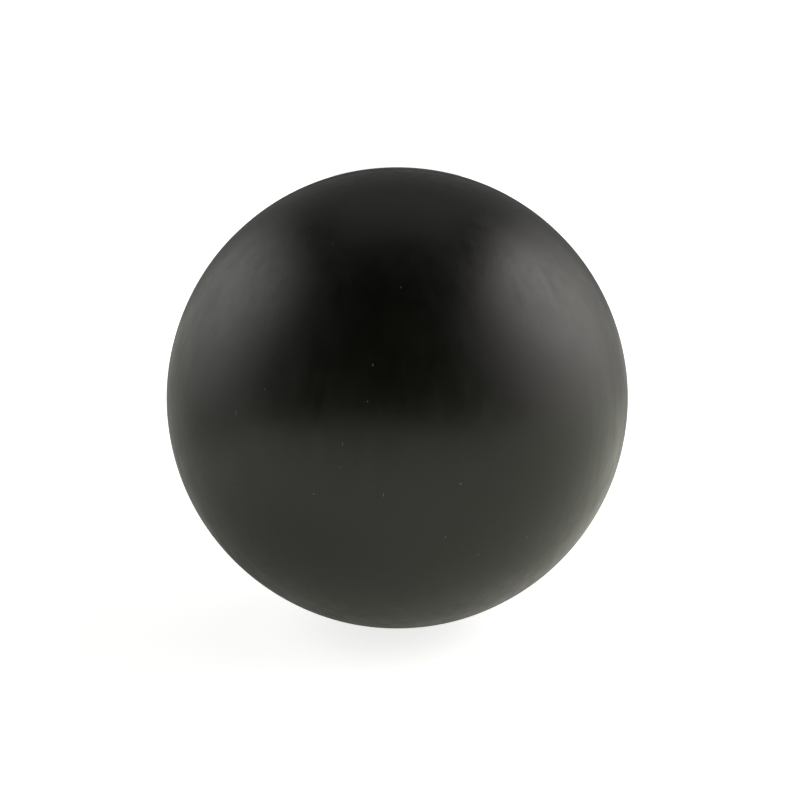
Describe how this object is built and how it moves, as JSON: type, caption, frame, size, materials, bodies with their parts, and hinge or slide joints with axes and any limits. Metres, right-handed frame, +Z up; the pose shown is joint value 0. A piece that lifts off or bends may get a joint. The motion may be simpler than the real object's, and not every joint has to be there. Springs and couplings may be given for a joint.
{
  "type": "case opening friction ball",
  "caption": "Hollow black rubber ball with a recessed needle valve, pressed on a screwed watch case back to turn it by friction.",
  "frame": {"origin": "centre of the ball", "axes": "+Y along the valve axis, out of the valve at the rear; +Z up, so the ball would touch a bench at z = -0.0325 m"},
  "size_m": [0.065, 0.0644, 0.065],
  "materials": {
    "black_rubber": "satin, slightly tacky",
    "rubber_cement": "glossy, cured",
    "valve_rubber": "matte",
    "core_rubber": "matte"
  },
  "bodies": {
    "ball": {"front_half_shell": "black_rubber", "rear_half_shell": "black_rubber", "seam_cement": "rubber_cement", "valve_housing": "valve_rubber"},
    "valve_core": {"valve_core": "core_rubber"}
  },
  "joints": [
    {"name": "valve_core_pull", "type": "slide", "parent": "ball", "child": "valve_core", "axis": [0, 1, 0], "range_m": [0, 0.018]}
  ]
}
